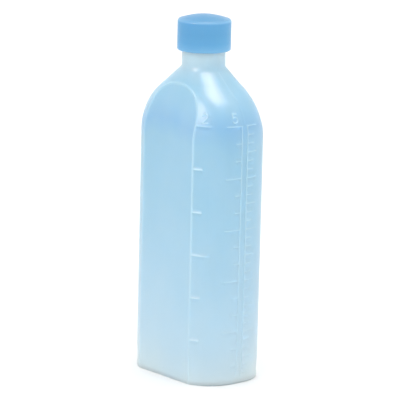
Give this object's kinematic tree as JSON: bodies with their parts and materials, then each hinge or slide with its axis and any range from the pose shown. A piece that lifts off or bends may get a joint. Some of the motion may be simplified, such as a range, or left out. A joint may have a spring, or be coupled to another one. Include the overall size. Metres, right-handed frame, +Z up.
{
  "type": "graduated bottle",
  "caption": "Translucent blue flat-sided plastic bottle with arched panels, graduated sides, a short round neck and a screw cap.",
  "frame": {"origin": "centre of the base, on the surface the bottle stands on", "axes": "+Z up along the neck, -Y out of the front panel, +X out of one graduated side"},
  "size_m": [0.0666, 0.0428, 0.1824],
  "materials": {
    "bottle_plastic": "translucent milky blue, satin",
    "cap_plastic": "opaque mid blue, semi-gloss",
    "liner_foam": "off-white, dull"
  },
  "bodies": {
    "bottle": {"bottle_body": "bottle_plastic"},
    "liner": {"cap_liner": "liner_foam"},
    "cap": {"screw_cap": "cap_plastic"}
  },
  "joints": [
    {"name": "cap_lift", "type": "slide", "parent": "bottle", "child": "liner", "axis": [0, 0, 1], "range_m": [0, 0.016]},
    {"name": "cap_turn", "type": "hinge", "parent": "liner", "child": "cap", "pos_m": [0, 0, 0.1645], "axis": [0, 0, 1], "range_deg": [0, 1440]}
  ],
  "couplings": [
    {"joint": "cap_lift", "follows": "cap_turn", "m_per_rad": 0.00063662}
  ]
}
